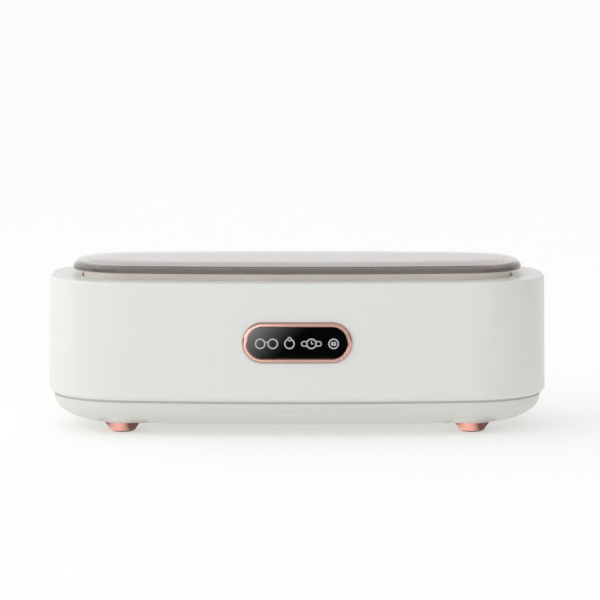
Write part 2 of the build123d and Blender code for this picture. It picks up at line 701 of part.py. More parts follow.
def ring_icon():
    gem_radius = ICON_RADIUS * 0.42
    gem = Pos(0, ICON_RADIUS * 0.88) * Circle(gem_radius)
    hole = Pos(0, ICON_RADIUS * 0.88) * Circle(gem_radius * 0.45)
    return ring_of(ICON_RADIUS) + gem - hole


def watch_icon():
    strap_stroke = ICON_STROKE * 0.8
    strap = pill(ICON_RADIUS * 3.9, ICON_RADIUS * 1.05)
    strap -= pill(ICON_RADIUS * 3.9 - 2 * strap_stroke, ICON_RADIUS * 1.05 - 2 * strap_stroke)
    hand = ICON_STROKE * 0.75
    long_hand = Pos(0, ICON_RADIUS * 0.25) * Rectangle(hand, ICON_RADIUS * 0.55)
    short_hand = Pos(ICON_RADIUS * 0.16, 0) * Rectangle(ICON_RADIUS * 0.5, hand)
    straps = strap - Circle(ICON_RADIUS - ICON_STROKE / 2)
    return [straps + ring_of(ICON_RADIUS), long_hand + short_hand]


def denture_icon():
    badge = RectangleRounded(ICON_RADIUS * 0.95, ICON_RADIUS * 0.72, ICON_RADIUS * 0.25)
    return [ring_of(ICON_RADIUS), badge - Circle(ICON_RADIUS * 0.13)]


def panel_icons():
    """Light windows set flush into the front of the lens."""
    drawings = {
        "icon_glasses": glasses_icon(),
        "icon_ring": ring_icon(),
        "icon_watch": watch_icon(),
        "icon_denture": denture_icon(),
    }
    made = {}
    for (name, drawing), x in zip(drawings.items(), ICON_PLACES):
        sketches = drawing if isinstance(drawing, list) else [drawing]
        z = PANEL_Z - ICON_DROP
        solids = [facing_front(s, x, z, LENS_Y, ICON_DEPTH).solids() for s in sketches]
        made[name] = group(solid for found in solids for solid in found)
    return made


def panel_lens(icons):
    shrink = 2 * (BEZEL_RIM + LENS_CLEARANCE)
    plate = pill(BEZEL_LENGTH - shrink, BEZEL_HEIGHT - shrink)
    lens = facing_front(plate, 0, PANEL_Z, LENS_Y, LENS_THICKNESS)
    for icon in icons.values():
        for solid in icon.solids():
            lens -= solid
    return lens


def light_shield():
    """Black frame inside the bezel's window that keeps each icon's light in its own cell."""
    shrink = 2 * (BEZEL_RIM + BEZEL_LEDGE + PANEL_CLEARANCE)
    length, height = BEZEL_LENGTH - shrink, BEZEL_HEIGHT - shrink
    depth = CONTROL_Y - LENS_BACK_Y
    frame = facing_front(pill(length, height), 0, PANEL_Z, LENS_BACK_Y, depth)
    inside = pill(length - 2 * CELL_WALL, height - 2 * CELL_WALL)
    for low, high in zip(CELL_EDGES[:-1], CELL_EDGES[1:]):
        bay = Pos((low + high) / 2, 0) * Rectangle(high - low - CELL_WALL, height)
        frame -= facing_front(bay & inside, 0, PANEL_Z, LENS_BACK_Y - 1, depth + 2)
    return frame


def control_board():
    plate = RectangleRounded(CONTROL_LENGTH, CONTROL_HEIGHT, 1.5)
    board = facing_front(plate, 0, PANEL_Z, CONTROL_Y, CONTROL_THICKNESS)
    for x, z in four_corners(CONTROL_SCREW_X, CONTROL_SCREW_Z):
        hole = SMALL_SCREW_RADIUS + LENS_CLEARANCE
        board -= along_y(hole, x, PANEL_Z + z, CONTROL_Y - 1, CONTROL_Y + CONTROL_THICKNESS + 1)
    return board


def control_board_screws():
    screw = pan_head_screw(
        SMALL_SCREW_RADIUS, SMALL_SCREW_LENGTH, SMALL_HEAD_RADIUS, SMALL_HEAD_HEIGHT
    )
    seat_y = CONTROL_Y + CONTROL_THICKNESS
    places = four_corners(CONTROL_SCREW_X, CONTROL_SCREW_Z)
    return group(Pos(x, seat_y, PANEL_Z + z) * Rot(-90, 0, 0) * screw for x, z in places)


def cell_middles():
    return [(low + high) / 2 for low, high in zip(CELL_EDGES[:-1], CELL_EDGES[1:])]


def touch_columns():
    """A column of conductive foam per key, hollow for its lamp, from the lens to the board."""
    depth = CONTROL_Y - LENS_BACK_Y - 2 * COLUMN_GAP
    column = Circle(COLUMN_RADIUS) - Circle(COLUMN_HOLE)
    start_y = LENS_BACK_Y + COLUMN_GAP
    return group(facing_front(column, x, PANEL_Z, start_y, depth) for x in cell_middles())


def indicator_leds():
    """One white lamp inside each touch column."""
    size, height = 2.0, 0.8
    leds = []
    for x in cell_middles():
        lamp = facing_front(Rectangle(size, size), x, PANEL_Z, CONTROL_Y - height, height)
        leds.append(fillet(lamp.edges().group_by(Axis.Y)[0], 0.3))
    return group(leds)


def behind_control(sketch, x, z, height):
    """A part of the given height soldered to the back of the control board."""
    back_y = CONTROL_Y + CONTROL_THICKNESS
    return facing_front(sketch, x, PANEL_Z + z, back_y, height)


def control_chip():
    body = behind_control(Rectangle(7.0, 5.0), 0, 1.0, 1.6)
    body = chamfer(body.edges().group_by(Axis.Y)[-1], 0.25)
    for x in range(-2, 3):
        for side in (-1, 1):
            body += behind_control(Rectangle(0.5, 1.2), x * 1.27, 1.0 + side * 3.0, 0.5)
    return body


def buzzer():
    can = behind_control(Circle(4.5), -15.0, 0, 4.4)
    can = fillet(can.edges().group_by(Axis.Y)[-1], 0.5)
    return can - behind_control(Circle(0.8), -15.0, 0, 9.0) - can_hole()


def can_hole():
    back_y = CONTROL_Y + CONTROL_THICKNESS
    return along_y(0.8, -15.0, PANEL_Z, back_y + 3.0, back_y + 5.0)


def cable_socket():
    """Socket on the control board that the panel cable plugs into."""
    return behind_control(Rectangle(8.0, 5.0), 15.0, -5.5, 4.2)


# ---- Driver board ----
def board_screw_places():
    far = BOARD_X + BOARD_LENGTH - BOARD_SCREW_EDGE
    side = BOARD_WIDTH / 2 - BOARD_SCREW_EDGE
    return [(x, y) for x in (BOARD_X + BOARD_SCREW_EDGE, far) for y in (-side, side)]


def driver_board():
    half = BOARD_WIDTH / 2
    board = block(BOARD_X, BOARD_X + BOARD_LENGTH, -half, half, BOARD_Z, BOARD_TOP_Z)
    board = fillet(board.edges().filter_by(Axis.Z), 1.0)
    for x, y in board_screw_places():
        board -= upright(SMALL_SCREW_RADIUS + LENS_CLEARANCE, x, y, BOARD_Z - 1, BOARD_TOP_Z + 1)
    return board


def driver_board_screws():
    screw = pan_head_screw(
        SMALL_SCREW_RADIUS, SMALL_SCREW_LENGTH, SMALL_HEAD_RADIUS, SMALL_HEAD_HEIGHT
    )
    return group(Pos(x, y, BOARD_TOP_Z) * screw for x, y in board_screw_places())


def on_board(x, y, length, width, low, high):
    """A block on the driver board; x runs from the board's edge nearest the transducer."""
    x_low = BOARD_X + x - length / 2
    y_low = y - width / 2
    z = BOARD_TOP_Z
    return block(x_low, x_low + length, y_low, y_low + width, z + low, z + high)


TRANSFORMER_X = 33.0
CORE_LENGTH = 14.0
CORE_WIDTH = 14.0
CORE_HEIGHT = 9.0
CORE_LEG = 2.4


def transformer_core():
    core = on_board(TRANSFORMER_X, 0, CORE_LENGTH, 4.0, 0, CORE_HEIGHT)
    window = CORE_LENGTH / 2 - 1.5 * CORE_LEG
    for side in (-1, 1):
        x = TRANSFORMER_X + side * (CORE_LEG + window) / 2
        core -= on_board(x, 0, window, 5.0, CORE_LEG, CORE_HEIGHT - CORE_LEG)
    return core


def transformer_winding():
    window = CORE_LENGTH / 2 - 1.5 * CORE_LEG
    size = CORE_LEG + 2 * (window - 0.2)
    low, high = CORE_LEG + 0.2, CORE_HEIGHT - CORE_LEG - 0.2
    coil = on_board(TRANSFORMER_X, 0, size, CORE_WIDTH - 2.0, low, high)
    coil = fillet(coil.edges().filter_by(Axis.Z), 1.0)
    return coil - on_board(TRANSFORMER_X, 0, CORE_LEG + 0.1, 4.2, 0, CORE_HEIGHT)


def drum_inductor():
    x, y, z = BOARD_X + 13.0, -9.0, BOARD_TOP_Z
    drum = upright(4.5, x, y, z, z + 1.2) + upright(3.6, x, y, z + 1, z + 7)
    return drum + upright(4.5, x, y, z + 6.8, z + 8)


def board_capacitors():
    cans = []
    for y in (5.5, 12.5):
        can = upright(3.15, BOARD_X + 13.0, y, BOARD_TOP_Z, BOARD_TOP_Z + 8.5)
        cans.append(fillet(can.edges().group_by(Axis.Z)[-1], 0.6))
    film = on_board(21.0, 0, 4.0, 7.0, 0, 7.0)
    cans.append(fillet(film.edges().filter_by(Axis.Z), 0.6))
    return group(cans)


def power_transistor():
    body = on_board(TRANSFORMER_X, 12.0, 10.0, 5.0, 0.3, 4.6)
    body += on_board(TRANSFORMER_X, 12.0, 10.0, 1.3, 4.0, 8.0)
    for x in (-2.5, 0, 2.5):
        body += on_board(TRANSFORMER_X + x, 12.0, 0.8, 0.8, 0, 0.6)
    return body


def driver_chip():
    body = on_board(23.5, -12.0, 9.0, 4.0, 0.15, 1.7)
    body = chamfer(body.edges().group_by(Axis.Z)[-1], 0.2)
    for i in range(-3, 4):
        body += on_board(23.5 + i * 1.27, -12.0, 0.45, 6.0, 0, 0.45)
    return body


def socket_places():
    """y of the jack's and transducer's sockets along the board's inner edge."""
    return 6.4, 0.0


def board_sockets():
    made = []
    for y in socket_places():
        made.append(on_board(3.4, y, 6.6, 6.0, 0, CONNECTOR_HEIGHT))
    made.append(on_board(PANEL_SOCKET_X, -BOARD_WIDTH / 2 + 3.0, 8.0, 6.0, 0, CONNECTOR_HEIGHT))
    return group(made)


PANEL_SOCKET_X = 35.5


# ---- Cables inside the case ----
def panel_cable():
    """Round cable from the control board, down in front of the tank, to the driver board."""
    y_start = CONTROL_Y + CONTROL_THICKNESS + 2.1
    socket_bottom = PANEL_Z - 5.5 - 2.5
    socket_x = BOARD_X + PANEL_SOCKET_X
    half_board = BOARD_WIDTH / 2
    route = [
        (15.0, y_start, socket_bottom),
        (15.0, y_start, LEAD_Z),
        (socket_x, -half_board - 9.0, LEAD_Z),
        (socket_x, -half_board, LEAD_Z),
    ]
    return tube(CABLE_DIAMETER, route, [6.0, 3.5])


def jack_leads():
    """Two leads from the jack's tags to their socket on the driver board."""
    y = socket_places()[0]
    tag_y = JACK_Y - JACK_LENGTH - 2.2
    leads = []
    for side in (-1, 1):
        level = LEAD_Z + side * LEAD_DIAMETER * 0.7
        start_x = side * 1.6
        route = [
            (start_x, tag_y, JACK_Z - 2.5),
            (start_x, tag_y, level),
            (BOARD_X - 9.0, y, level),
            (BOARD_X + 0.1, y, level),
        ]
        leads.append(tube(LEAD_DIAMETER, route, [4.0, 4.0]))
    return group(leads)


# ---- Power jack ----
def power_jack():
    seat_y = HALF_WIDTH - JACK_SEAT_DEPTH
    inner_y = JACK_Y - JACK_LENGTH
    body = along_y(JACK_FLANGE_RADIUS, 0, JACK_Z, seat_y, JACK_Y)
    body = fillet(body.edges().group_by(Axis.Y)[-1], 0.5)
    body += along_y(JACK_BARREL_RADIUS, 0, JACK_Z, inner_y, JACK_Y - 0.5)
    body -= along_y(JACK_BORE_RADIUS, 0, JACK_Z, JACK_Y - JACK_BORE_DEPTH, JACK_Y + 1)
    return body - along_y(JACK_NECK_RADIUS, 0, JACK_Z, inner_y - 1, JACK_Y)


def jack_pin():
    stem_y = JACK_Y - JACK_LENGTH - 0.6
    pin_y = JACK_Y - JACK_BORE_DEPTH + JACK_NECK
    pin = along_y(JACK_PIN_RADIUS, 0, JACK_Z, pin_y, JACK_Y - JACK_PIN_RECESS)
    pin = fillet(pin.edges().group_by(Axis.Y)[-1], 0.4)
    return pin + along_y(JACK_NECK_RADIUS, 0, JACK_Z, stem_y, pin_y + 1)


def jack_tags():
    """Two solder tags on the back of the jack."""
    inner_y = JACK_Y - JACK_LENGTH
    tags = []
    for x in (-1.6, 1.6):
        tags.append(block(x - 1.0, x + 1.0, inner_y - 2.8, inner_y, JACK_Z - 2.5, JACK_Z - 1.7))
    return group(tags)


def jack_nut():
    nut = RegularPolygon(JACK_NUT_ACROSS / 2, 6, major_radius=False)
    nut -= Circle(JACK_BARREL_RADIUS + SCREW_CLEARANCE)
    wall_y = HALF_WIDTH - HOUSING_WALL - wall_inset(JACK_Z + JACK_FLANGE_RADIUS) - LENS_CLEARANCE
    return facing_front(nut, 0, JACK_Z, wall_y - JACK_NUT_THICKNESS, JACK_NUT_THICKNESS)


def make_parts():
    icons = panel_icons()
    parts = {
        "base_shell": base_shell(),
        "upper_housing": upper_housing(),
        "tank": tank(),
        "tank_gasket": tank_gasket(),
        "piezo_bond": piezo_bond(),
        "piezo_disc": piezo_disc(),
        "piezo_leads": piezo_leads(),
        "basket": basket(),
        "lid_cover": lid_cover(),
        "lid_skirt": lid_skirt(),
        "panel_bezel": panel_bezel(),
        "panel_lens": panel_lens(icons),
        "light_shield": light_shield(),
        "control_board": control_board(),
        "control_board_screws": control_board_screws(),
        "touch_columns": touch_columns(),
        "indicator_leds": indicator_leds(),
        "control_chip": control_chip(),
        "buzzer": buzzer(),
        "cable_socket": cable_socket(),
        "panel_cable": panel_cable(),
        "driver_board": driver_board(),
        "driver_board_screws": driver_board_screws(),
        "transformer_core": transformer_core(),
        "transformer_winding": transformer_winding(),
        "drum_inductor": drum_inductor(),
        "board_capacitors": board_capacitors(),
        "power_transistor": power_transistor(),
        "driver_chip": driver_chip(),
        "board_sockets": board_sockets(),
        "power_jack": power_jack(),
        "jack_pin": jack_pin(),
        "jack_tags": jack_tags(),
        "jack_nut": jack_nut(),
        "jack_leads": jack_leads(),
        "case_screws": case_screws(),
        "foot_screws": foot_screws(),
        "screw_caps": screw_caps(),
    }
    return {**parts, **icons, **feet()}


os.makedirs("parts", exist_ok=True)
for part_name, part_shape in make_parts().items():
    export_step(part_shape, f"parts/{part_name}.step")
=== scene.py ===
# %% [markdown]
# # An ultrasonic cleaner, finished in Blender
#
# The cleaner arrives here as a finished assembly: a white housing on a white base, a tea-tinted
# lid, a steel tank, a slotted basket, a rose-gold panel ring and four small feet. Every piece
# already has its true shape and place. What it lacks is a surface: how smooth it is, how it
# takes the light and how it varies from one spot to the next. That is what this lesson adds,
# with the room, the light and the camera that show it.

import math

import bpy
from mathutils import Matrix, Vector


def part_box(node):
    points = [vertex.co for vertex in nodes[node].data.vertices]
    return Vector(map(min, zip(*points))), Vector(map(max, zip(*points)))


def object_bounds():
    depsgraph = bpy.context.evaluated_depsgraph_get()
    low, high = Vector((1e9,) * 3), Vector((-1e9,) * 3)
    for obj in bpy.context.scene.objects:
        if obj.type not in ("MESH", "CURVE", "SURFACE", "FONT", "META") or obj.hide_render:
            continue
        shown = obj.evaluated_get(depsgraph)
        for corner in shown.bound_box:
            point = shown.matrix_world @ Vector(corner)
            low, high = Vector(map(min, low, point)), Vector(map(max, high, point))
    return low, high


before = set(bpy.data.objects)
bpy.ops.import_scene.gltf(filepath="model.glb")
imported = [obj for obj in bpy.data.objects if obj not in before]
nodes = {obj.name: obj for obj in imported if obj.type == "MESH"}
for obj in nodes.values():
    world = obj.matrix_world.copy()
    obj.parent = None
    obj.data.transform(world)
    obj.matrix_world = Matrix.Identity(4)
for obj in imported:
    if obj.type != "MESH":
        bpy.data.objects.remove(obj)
cad_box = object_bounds()
low, high = cad_box
size = [round(1000 * (h - l), 1) for l, h in zip(low, high)]
print("pieces:", len(nodes), "size in mm:", size)

# %% [markdown]
# ## Smooth shading
#
# A piece from a CAD program comes as flat triangles. If each were shaded flat, a round corner
# would show facets, and if all were shaded smooth, a crisp edge would look like a pillow.
# Shading smooth by angle is the usual answer: faces that meet at less than a chosen angle are
# blended, and sharper edges stay crisp.

# %% Shade every piece smooth by angle
CREASE = math.radians(28)


def only(*objects):
    """Selects these objects and nothing else, and makes the first one active."""
    bpy.ops.object.select_all(action="DESELECT")
    for one in objects:
        one.select_set(True)
    bpy.context.view_layer.objects.active = objects[0]


for piece in nodes.values():
    only(piece)
    bpy.ops.object.shade_smooth_by_angle(angle=CREASE)
bpy.ops.object.select_all(action="DESELECT")
print("shaded smooth:", len(nodes))

# %% [markdown]
# ## A recipe for moulded and plated surfaces
#
# No real surface is one flat colour. Moulded plastic clouds a little where it cooled last, its
# gloss changes slightly from place to place, and close up it has a very faint orange-peel
# ripple. The same three layers, at other strengths, also describe rubber, steel and plating,
# so one helper builds them all: a broad cloud for the colour, a finer one for the roughness
# and the finest for the bump. Noise that is stretched along one axis gives brushed lines.

# %% Helpers for procedural finishes
NOISE_LOW, NOISE_HIGH = 0.3, 0.7  # nearly all of a noise lies between these


def new_material(name):
    """An empty material with a Principled shader wired to its output."""
    material = bpy.data.materials.new(name)
    material.use_nodes = True
    tree = material.node_tree
    tree.nodes.clear()
    output = tree.nodes.new("ShaderNodeOutputMaterial")
    shader = tree.nodes.new("ShaderNodeBsdfPrincipled")
    tree.links.new(shader.outputs["BSDF"], output.inputs["Surface"])
    return material, tree, shader, output


def noise(tree, scale, detail=3.0, stretch=(1, 1, 1)):
    """Noise on the object's own coordinates; scale is in waves per metre."""
    place = tree.nodes.new("ShaderNodeTexCoord")
    mapping = tree.nodes.new("ShaderNodeMapping")
    mapping.inputs["Scale"].default_value = stretch
    texture = tree.nodes.new("ShaderNodeTexNoise")
    texture.inputs["Scale"].default_value = scale
    texture.inputs["Detail"].default_value = detail
    tree.links.new(place.outputs["Object"], mapping.inputs["Vector"])
    tree.links.new(mapping.outputs["Vector"], texture.inputs["Vector"])
    return texture.outputs["Fac"]


def spread(tree, source, low_value, high_value):
    """Stretches the middle of a noise to the given range."""
    node = tree.nodes.new("ShaderNodeMapRange")
    node.inputs["From Min"].default_value = NOISE_LOW
    node.inputs["From Max"].default_value = NOISE_HIGH
    node.inputs["To Min"].default_value = low_value
    node.inputs["To Max"].default_value = high_value
    tree.links.new(source, node.inputs["Value"])
    return node.outputs["Result"]


def finish(
    name,
    colour,
    rough,
    cloud=0.03,
    cloud_scale=25,
    rough_spread=0.04,
    rough_scale=120,
    bump=0.02,
    bump_scale=1500,
    bump_height=0.00005,
    stretch=(1, 1, 1),
    **sockets,
):
    """A finish: colour varies by cloud, roughness by rough_spread, and the surface by bump."""
    material, tree, shader, _ = new_material(name)
    mix = tree.nodes.new("ShaderNodeMix")
    mix.data_type = "RGBA"
    mix.inputs["A"].default_value = (*[c * (1 - cloud) for c in colour], 1)
    mix.inputs["B"].default_value = (*[min(1, c * (1 + cloud)) for c in colour], 1)
    clouds = spread(tree, noise(tree, cloud_scale), 0, 1)
    tree.links.new(clouds, mix.inputs["Factor"])
    tree.links.new(mix.outputs["Result"], shader.inputs["Base Color"])
    patches = noise(tree, rough_scale, stretch=stretch)
    low_rough, high_rough = max(0, rough - rough_spread), rough + rough_spread
    tree.links.new(spread(tree, patches, low_rough, high_rough), shader.inputs["Roughness"])
    ripple = tree.nodes.new("ShaderNodeBump")
    ripple.inputs["Strength"].default_value = bump
    ripple.inputs["Distance"].default_value = bump_height
    tree.links.new(noise(tree, bump_scale, stretch=stretch), ripple.inputs["Height"])
    tree.links.new(ripple.outputs["Normal"], shader.inputs["Normal"])
    for socket, value in sockets.items():
        shader.inputs[socket.replace("_", " ")].default_value = value
    return material


def wear(material, *names):
    """Gives these pieces one material."""
    for name in names:
        nodes[name].data.materials.clear()
        nodes[name].data.materials.append(material)


print("helpers:", finish.__name__, wear.__name__)

# %% [markdown]
# ## White housing and base
#
# The housing and the base are ABS plastic with a polished mould: bright, slightly warm, with a
# soft gloss. The base gets a darker, greyer white than the housing: painted shade for a part
# that faces down under the housing's overhang, which is what makes the seam between them read.

# %% White plastics
housing_white = finish(
    "gloss_white_plastic",
    (0.73, 0.735, 0.705),
    0.38,
    cloud=0.006,
    cloud_scale=14,
    rough_spread=0.02,
    bump=0.04,
    bump_scale=700,
    Coat_Weight=0.3,
    Coat_Roughness=0.2,
)
# painted shade: the base's white is darker and greyer than the housing's, standing for the
# shade on a part that faces down under the overhang
base_white_painted_shade = finish(
    "base_plastic_with_painted_shade",
    (0.67, 0.68, 0.63),
    0.40,
    cloud=0.008,
    cloud_scale=14,
    rough_spread=0.02,
    bump=0.04,
    bump_scale=700,
    Coat_Weight=0.25,
    Coat_Roughness=0.2,
)
wear(housing_white, "upper_housing")
wear(base_white_painted_shade, "base_shell", "screw_caps")
print("white plastics:", housing_white.name, base_white_painted_shade.name)

# %% [markdown]
# ## Tinted lid
#
# The lid is clear acrylic with a little tea colour in it. Seen square on, a few millimetres of
# it are nearly clear; along its edge the light crosses much more plastic and it turns brown.
# A flat transparent colour can't do that. A clear shader whose inside absorbs light can: the
# colour then deepens with the length of the path, as in the real material. The skirt bonded
# under it is frosted: light goes a little way in and comes back out soft.

# %% Tinted acrylic
SURFACE_TINT = (0.97, 0.92, 0.88, 1)
CLEAR_SHARE = 0.88  # the rest scatters light, as fine haze does
ACRYLIC_INDEX = 1.49
TEA_COLOUR, TEA_DENSITY = (0.48, 0.36, 0.28, 1), 62
RIPPLE_STRENGTH, RIPPLE_HEIGHT = 0.01, 0.00002
GLOSS_WAVES, RIPPLE_WAVES = 60, 40
SMOOTHEST, ROUGHEST = 0.015, 0.03
acrylic, tree, shader, output = new_material("tea_tinted_acrylic")
shader.inputs["Base Color"].default_value = SURFACE_TINT
shader.inputs["Transmission Weight"].default_value = CLEAR_SHARE
shader.inputs["IOR"].default_value = ACRYLIC_INDEX
gloss = spread(tree, noise(tree, GLOSS_WAVES), SMOOTHEST, ROUGHEST)
tree.links.new(gloss, shader.inputs["Roughness"])
ripple = tree.nodes.new("ShaderNodeBump")
ripple.inputs["Strength"].default_value = RIPPLE_STRENGTH
ripple.inputs["Distance"].default_value = RIPPLE_HEIGHT
tree.links.new(noise(tree, RIPPLE_WAVES, detail=0), ripple.inputs["Height"])
tree.links.new(ripple.outputs["Normal"], shader.inputs["Normal"])
inside = tree.nodes.new("ShaderNodeVolumeAbsorption")
inside.inputs["Color"].default_value = TEA_COLOUR
inside.inputs["Density"].default_value = TEA_DENSITY
tree.links.new(inside.outputs["Volume"], output.inputs["Volume"])
wear(acrylic, "lid_cover")
frosted = finish(
    "frosted_skirt",
    (0.96, 0.89, 0.84),
    0.45,
    cloud=0.02,
    cloud_scale=60,
    bump=0.08,
    bump_scale=900,
    Subsurface_Weight=0.4,
    Subsurface_Scale=0.002,
)
wear(frosted, "lid_skirt")
print("lid:", acrylic.name, frosted.name)

# %% [markdown]
# ## Rose gold
#
# The panel's ring and the feet are plated in rose gold. Plating is a metal: its colour is the
# colour of what it reflects, tinted. It keeps the fine polishing haze of the part below, so the
# roughness is low but never zero.

# %% Plated metals
rose_gold = finish(
    "rose_gold_plating",
    (0.88, 0.43, 0.34),
    0.15,
    cloud=0.03,
    cloud_scale=120,
    rough_spread=0.04,
    rough_scale=400,
    bump=0.03,
    bump_scale=2500,
    Metallic=1,
)
ring_plating = finish(
    "rose_gold_ring",
    (0.76, 0.45, 0.39),
    0.12,
    cloud=0.03,
    cloud_scale=120,
    rough_spread=0.03,
    rough_scale=400,
    bump=0.02,
    bump_scale=2500,
    Metallic=1,
)
feet = [f"foot_{end}_{side}" for end in ("front", "back") for side in ("left", "right")]
wear(rose_gold, *feet)
wear(ring_plating, "panel_bezel")
nickel = finish("nickel_plating", (0.72, 0.68, 0.60), 0.25, Metallic=1, cloud=0.05)
wear(nickel, "jack_pin", "jack_tags", "jack_nut")
zinc = finish("zinc_plated_steel", (0.62, 0.62, 0.60), 0.35, Metallic=1, cloud=0.08)
wear(zinc, "case_screws", "foot_screws", "control_board_screws", "driver_board_screws")
print("plated:", rose_gold.name, ring_plating.name, nickel.name, zinc.name)

# %% [markdown]
# ## Touch panel
#
# The panel is a black gloss plate. The symbols are windows of light grey plastic set flush in
# it. They aren't lit when the cleaner is off, so they are plain grey and not lamps.

# %% Panel finishes
panel_black = finish(
    "panel_black",
    (0.002, 0.002, 0.0022),
    0.03,
    cloud=0.2,
    rough_spread=0.01,
    bump=0.005,
    bump_scale=100,
)
symbol_grey = finish(
    "symbol_grey",
    (0.44, 0.44, 0.45),
    0.3,
    cloud=0.03,
    cloud_scale=800,
)
wear(panel_black, "panel_lens")
wear(symbol_grey, "icon_glasses", "icon_ring", "icon_watch", "icon_denture")
print("panel finishes:", panel_black.name, symbol_grey.name)

# %% [markdown]
# ## Tank and basket
#
# The tank is deep-drawn stainless steel, brushed round its walls, so its fine lines run level.
# Noise squeezed along Z makes such lines: short waves upwards, long waves sideways. The basket
# is moulded polypropylene, duller than the housing and slightly milky.

# %% Steel and milky plastic
brushed_steel = finish(
    "brushed_steel",
    (0.72, 0.72, 0.71),
    0.32,
    cloud=0.05,
    rough_spread=0.08,
    rough_scale=60,
    bump=0.15,
    bump_scale=60,
    bump_height=0.0001,
    stretch=(1, 1, 60),
    Metallic=1,
)
wear(brushed_steel, "tank")
milky = finish(
    "milky_polypropylene",
    (0.90, 0.88, 0.85),
    0.42,
    cloud=0.02,
    cloud_scale=40,
    bump=0.1,
    bump_scale=1200,
    Subsurface_Weight=0.2,
    Subsurface_Scale=0.002,
)
wear(milky, "basket")
print("tank and basket:", brushed_steel.name, milky.name)

# %% [markdown]
# ## Rubber, black plastic and what is inside
#
# Pads, gasket and sheaths are matt and slightly grainy. The boards, connectors, cores and cans
# inside are never seen on a closed cleaner, but each still gets its own finish.

# %% Inside finishes
BLACK_PARTS = ["light_shield", "power_jack", "control_chip", "driver_chip"]
BLACK_PARTS += ["buzzer", "power_transistor"]
INSIDE = {
    "black_rubber": ((0.03, 0.03, 0.03), 0.7, ["touch_columns", "jack_leads"]),
    "grey_silicone": ((0.55, 0.55, 0.53), 0.6, ["tank_gasket"]),
    "black_plastic": ((0.02, 0.02, 0.022), 0.4, BLACK_PARTS),
    "green_board": ((0.02, 0.16, 0.06), 0.35, ["control_board", "driver_board"]),
    "clear_lamp": ((0.85, 0.85, 0.80), 0.2, ["indicator_leds"]),
    "ivory_nylon": ((0.72, 0.68, 0.55), 0.45, ["cable_socket", "board_sockets"]),
    "grey_sheath": ((0.25, 0.26, 0.27), 0.55, ["panel_cable"]),
    "red_sheath": ((0.45, 0.03, 0.02), 0.5, ["piezo_leads"]),
    "ferrite": ((0.04, 0.04, 0.045), 0.55, ["transformer_core", "drum_inductor"]),
    "enamelled_copper": ((0.55, 0.22, 0.08), 0.3, ["transformer_winding"]),
    "blue_sleeve": ((0.02, 0.04, 0.12), 0.25, ["board_capacitors"]),
    "silvered_ceramic": ((0.60, 0.56, 0.45), 0.4, ["piezo_disc"]),
    "amber_epoxy": ((0.45, 0.32, 0.12), 0.2, ["piezo_bond"]),
}
for name, (colour, rough, pieces) in INSIDE.items():
    wear(finish(name, colour, rough, cloud=0.08, cloud_scale=200, bump=0.15), *pieces)
pads = [name.replace("foot_", "foot_pad_") for name in feet]
pad_rubber = finish(
    "pad_rubber",
    (0.03, 0.028, 0.027),
    0.65,
    cloud=0.15,
    cloud_scale=400,
    bump=0.3,
)
wear(pad_rubber, *pads)
bare = [name for name, piece in nodes.items() if not piece.data.materials[0].use_nodes]
print("inside finishes:", len(INSIDE), "bare pieces:", bare)

# %% [markdown]
# ## Floor and light
#
# A pale table fills the view. It glows a little by itself, so that it stays nearly white. The
# light is a plain studio set: a bright room that is brighter on its left, and one large soft
# window on that side, which brightens that end of the housing.

# %% Floor
FLOOR_SIZE = 60
bpy.ops.mesh.primitive_plane_add(size=FLOOR_SIZE, location=(0, 0, 0))
floor = bpy.context.object
floor.name = "floor"
pale = finish(
    "light_table",
    (0.57, 0.57, 0.57),
    0.9,
    cloud=0.004,
    bump=0.01,
    bump_scale=200,
    Specular_IOR_Level=0.0,
    Emission_Color=(1, 1, 0.99, 1),
    Emission_Strength=0.43,
)
floor.data.materials.append(pale)
print("floor size in m:", floor.dimensions.x)

# %% Room light
LEFT_SIDE, RIGHT_SIDE = 1.4, 0.5
world = bpy.data.worlds.new("bright_room")
bpy.context.scene.world = world
world.use_nodes = True
room = world.node_tree
background = room.nodes["Background"]
background.inputs["Color"].default_value = (1, 1, 1, 1)
direction = room.nodes.new("ShaderNodeTexCoord")
split = room.nodes.new("ShaderNodeSeparateXYZ")
fade = room.nodes.new("ShaderNodeMapRange")
fade.inputs["From Min"].default_value, fade.inputs["From Max"].default_value = -1, 1
fade.inputs["To Min"].default_value = LEFT_SIDE
fade.inputs["To Max"].default_value = RIGHT_SIDE
room.links.new(direction.outputs["Generated"], split.inputs["Vector"])
room.links.new(split.outputs["X"], fade.inputs["Value"])
room.links.new(fade.outputs["Result"], background.inputs["Strength"])
print("room from left to right:", LEFT_SIDE, RIGHT_SIDE)


# %% Soft window
WINDOW_PLACE, WINDOW_AIM = (-0.9, -0.55, 0.45), (0, 0, 0.04)
WINDOW_SIDE, WINDOW_POWER = 1.2, 1.4


def soft_window(name, place, aim, width, height, power):
    """A rectangular soft light at place that faces aim."""
    data = bpy.data.lights.new(name, "AREA")
    data.shape = "RECTANGLE"
    data.size, data.size_y = width, height
    data.energy = power
    lamp = bpy.data.objects.new(name, data)
    bpy.context.scene.collection.objects.link(lamp)
    lamp.location = place
    way = Vector(aim) - Vector(place)
    lamp.rotation_euler = way.to_track_quat("-Z", "Y").to_euler()
    return lamp


window = soft_window(
    "left_window", WINDOW_PLACE, WINDOW_AIM, WINDOW_SIDE, WINDOW_SIDE, WINDOW_POWER
)
bpy.context.scene.view_settings.view_transform = "Standard"
print("soft window:", window.name, "power:", window.data.energy)

# %% [markdown]
# ## A card for the panel to reflect
#
# A black gloss panel shows whatever stands in front of it, and in a white room that is flat
# grey. A studio puts a graded card low in front of such a panel, so that it reads black
# with a soft sheen across one corner. The card here is only seen in reflections: it is hidden
# from the camera, and it neither lights nor shades anything.

# %% Cards that are seen in gloss only
def seen_in_gloss_only(card):
    """Leaves a card to reflections alone."""
    card.visible_camera = card.visible_diffuse = card.visible_shadow = False
    card.visible_transmission = card.visible_volume_scatter = False


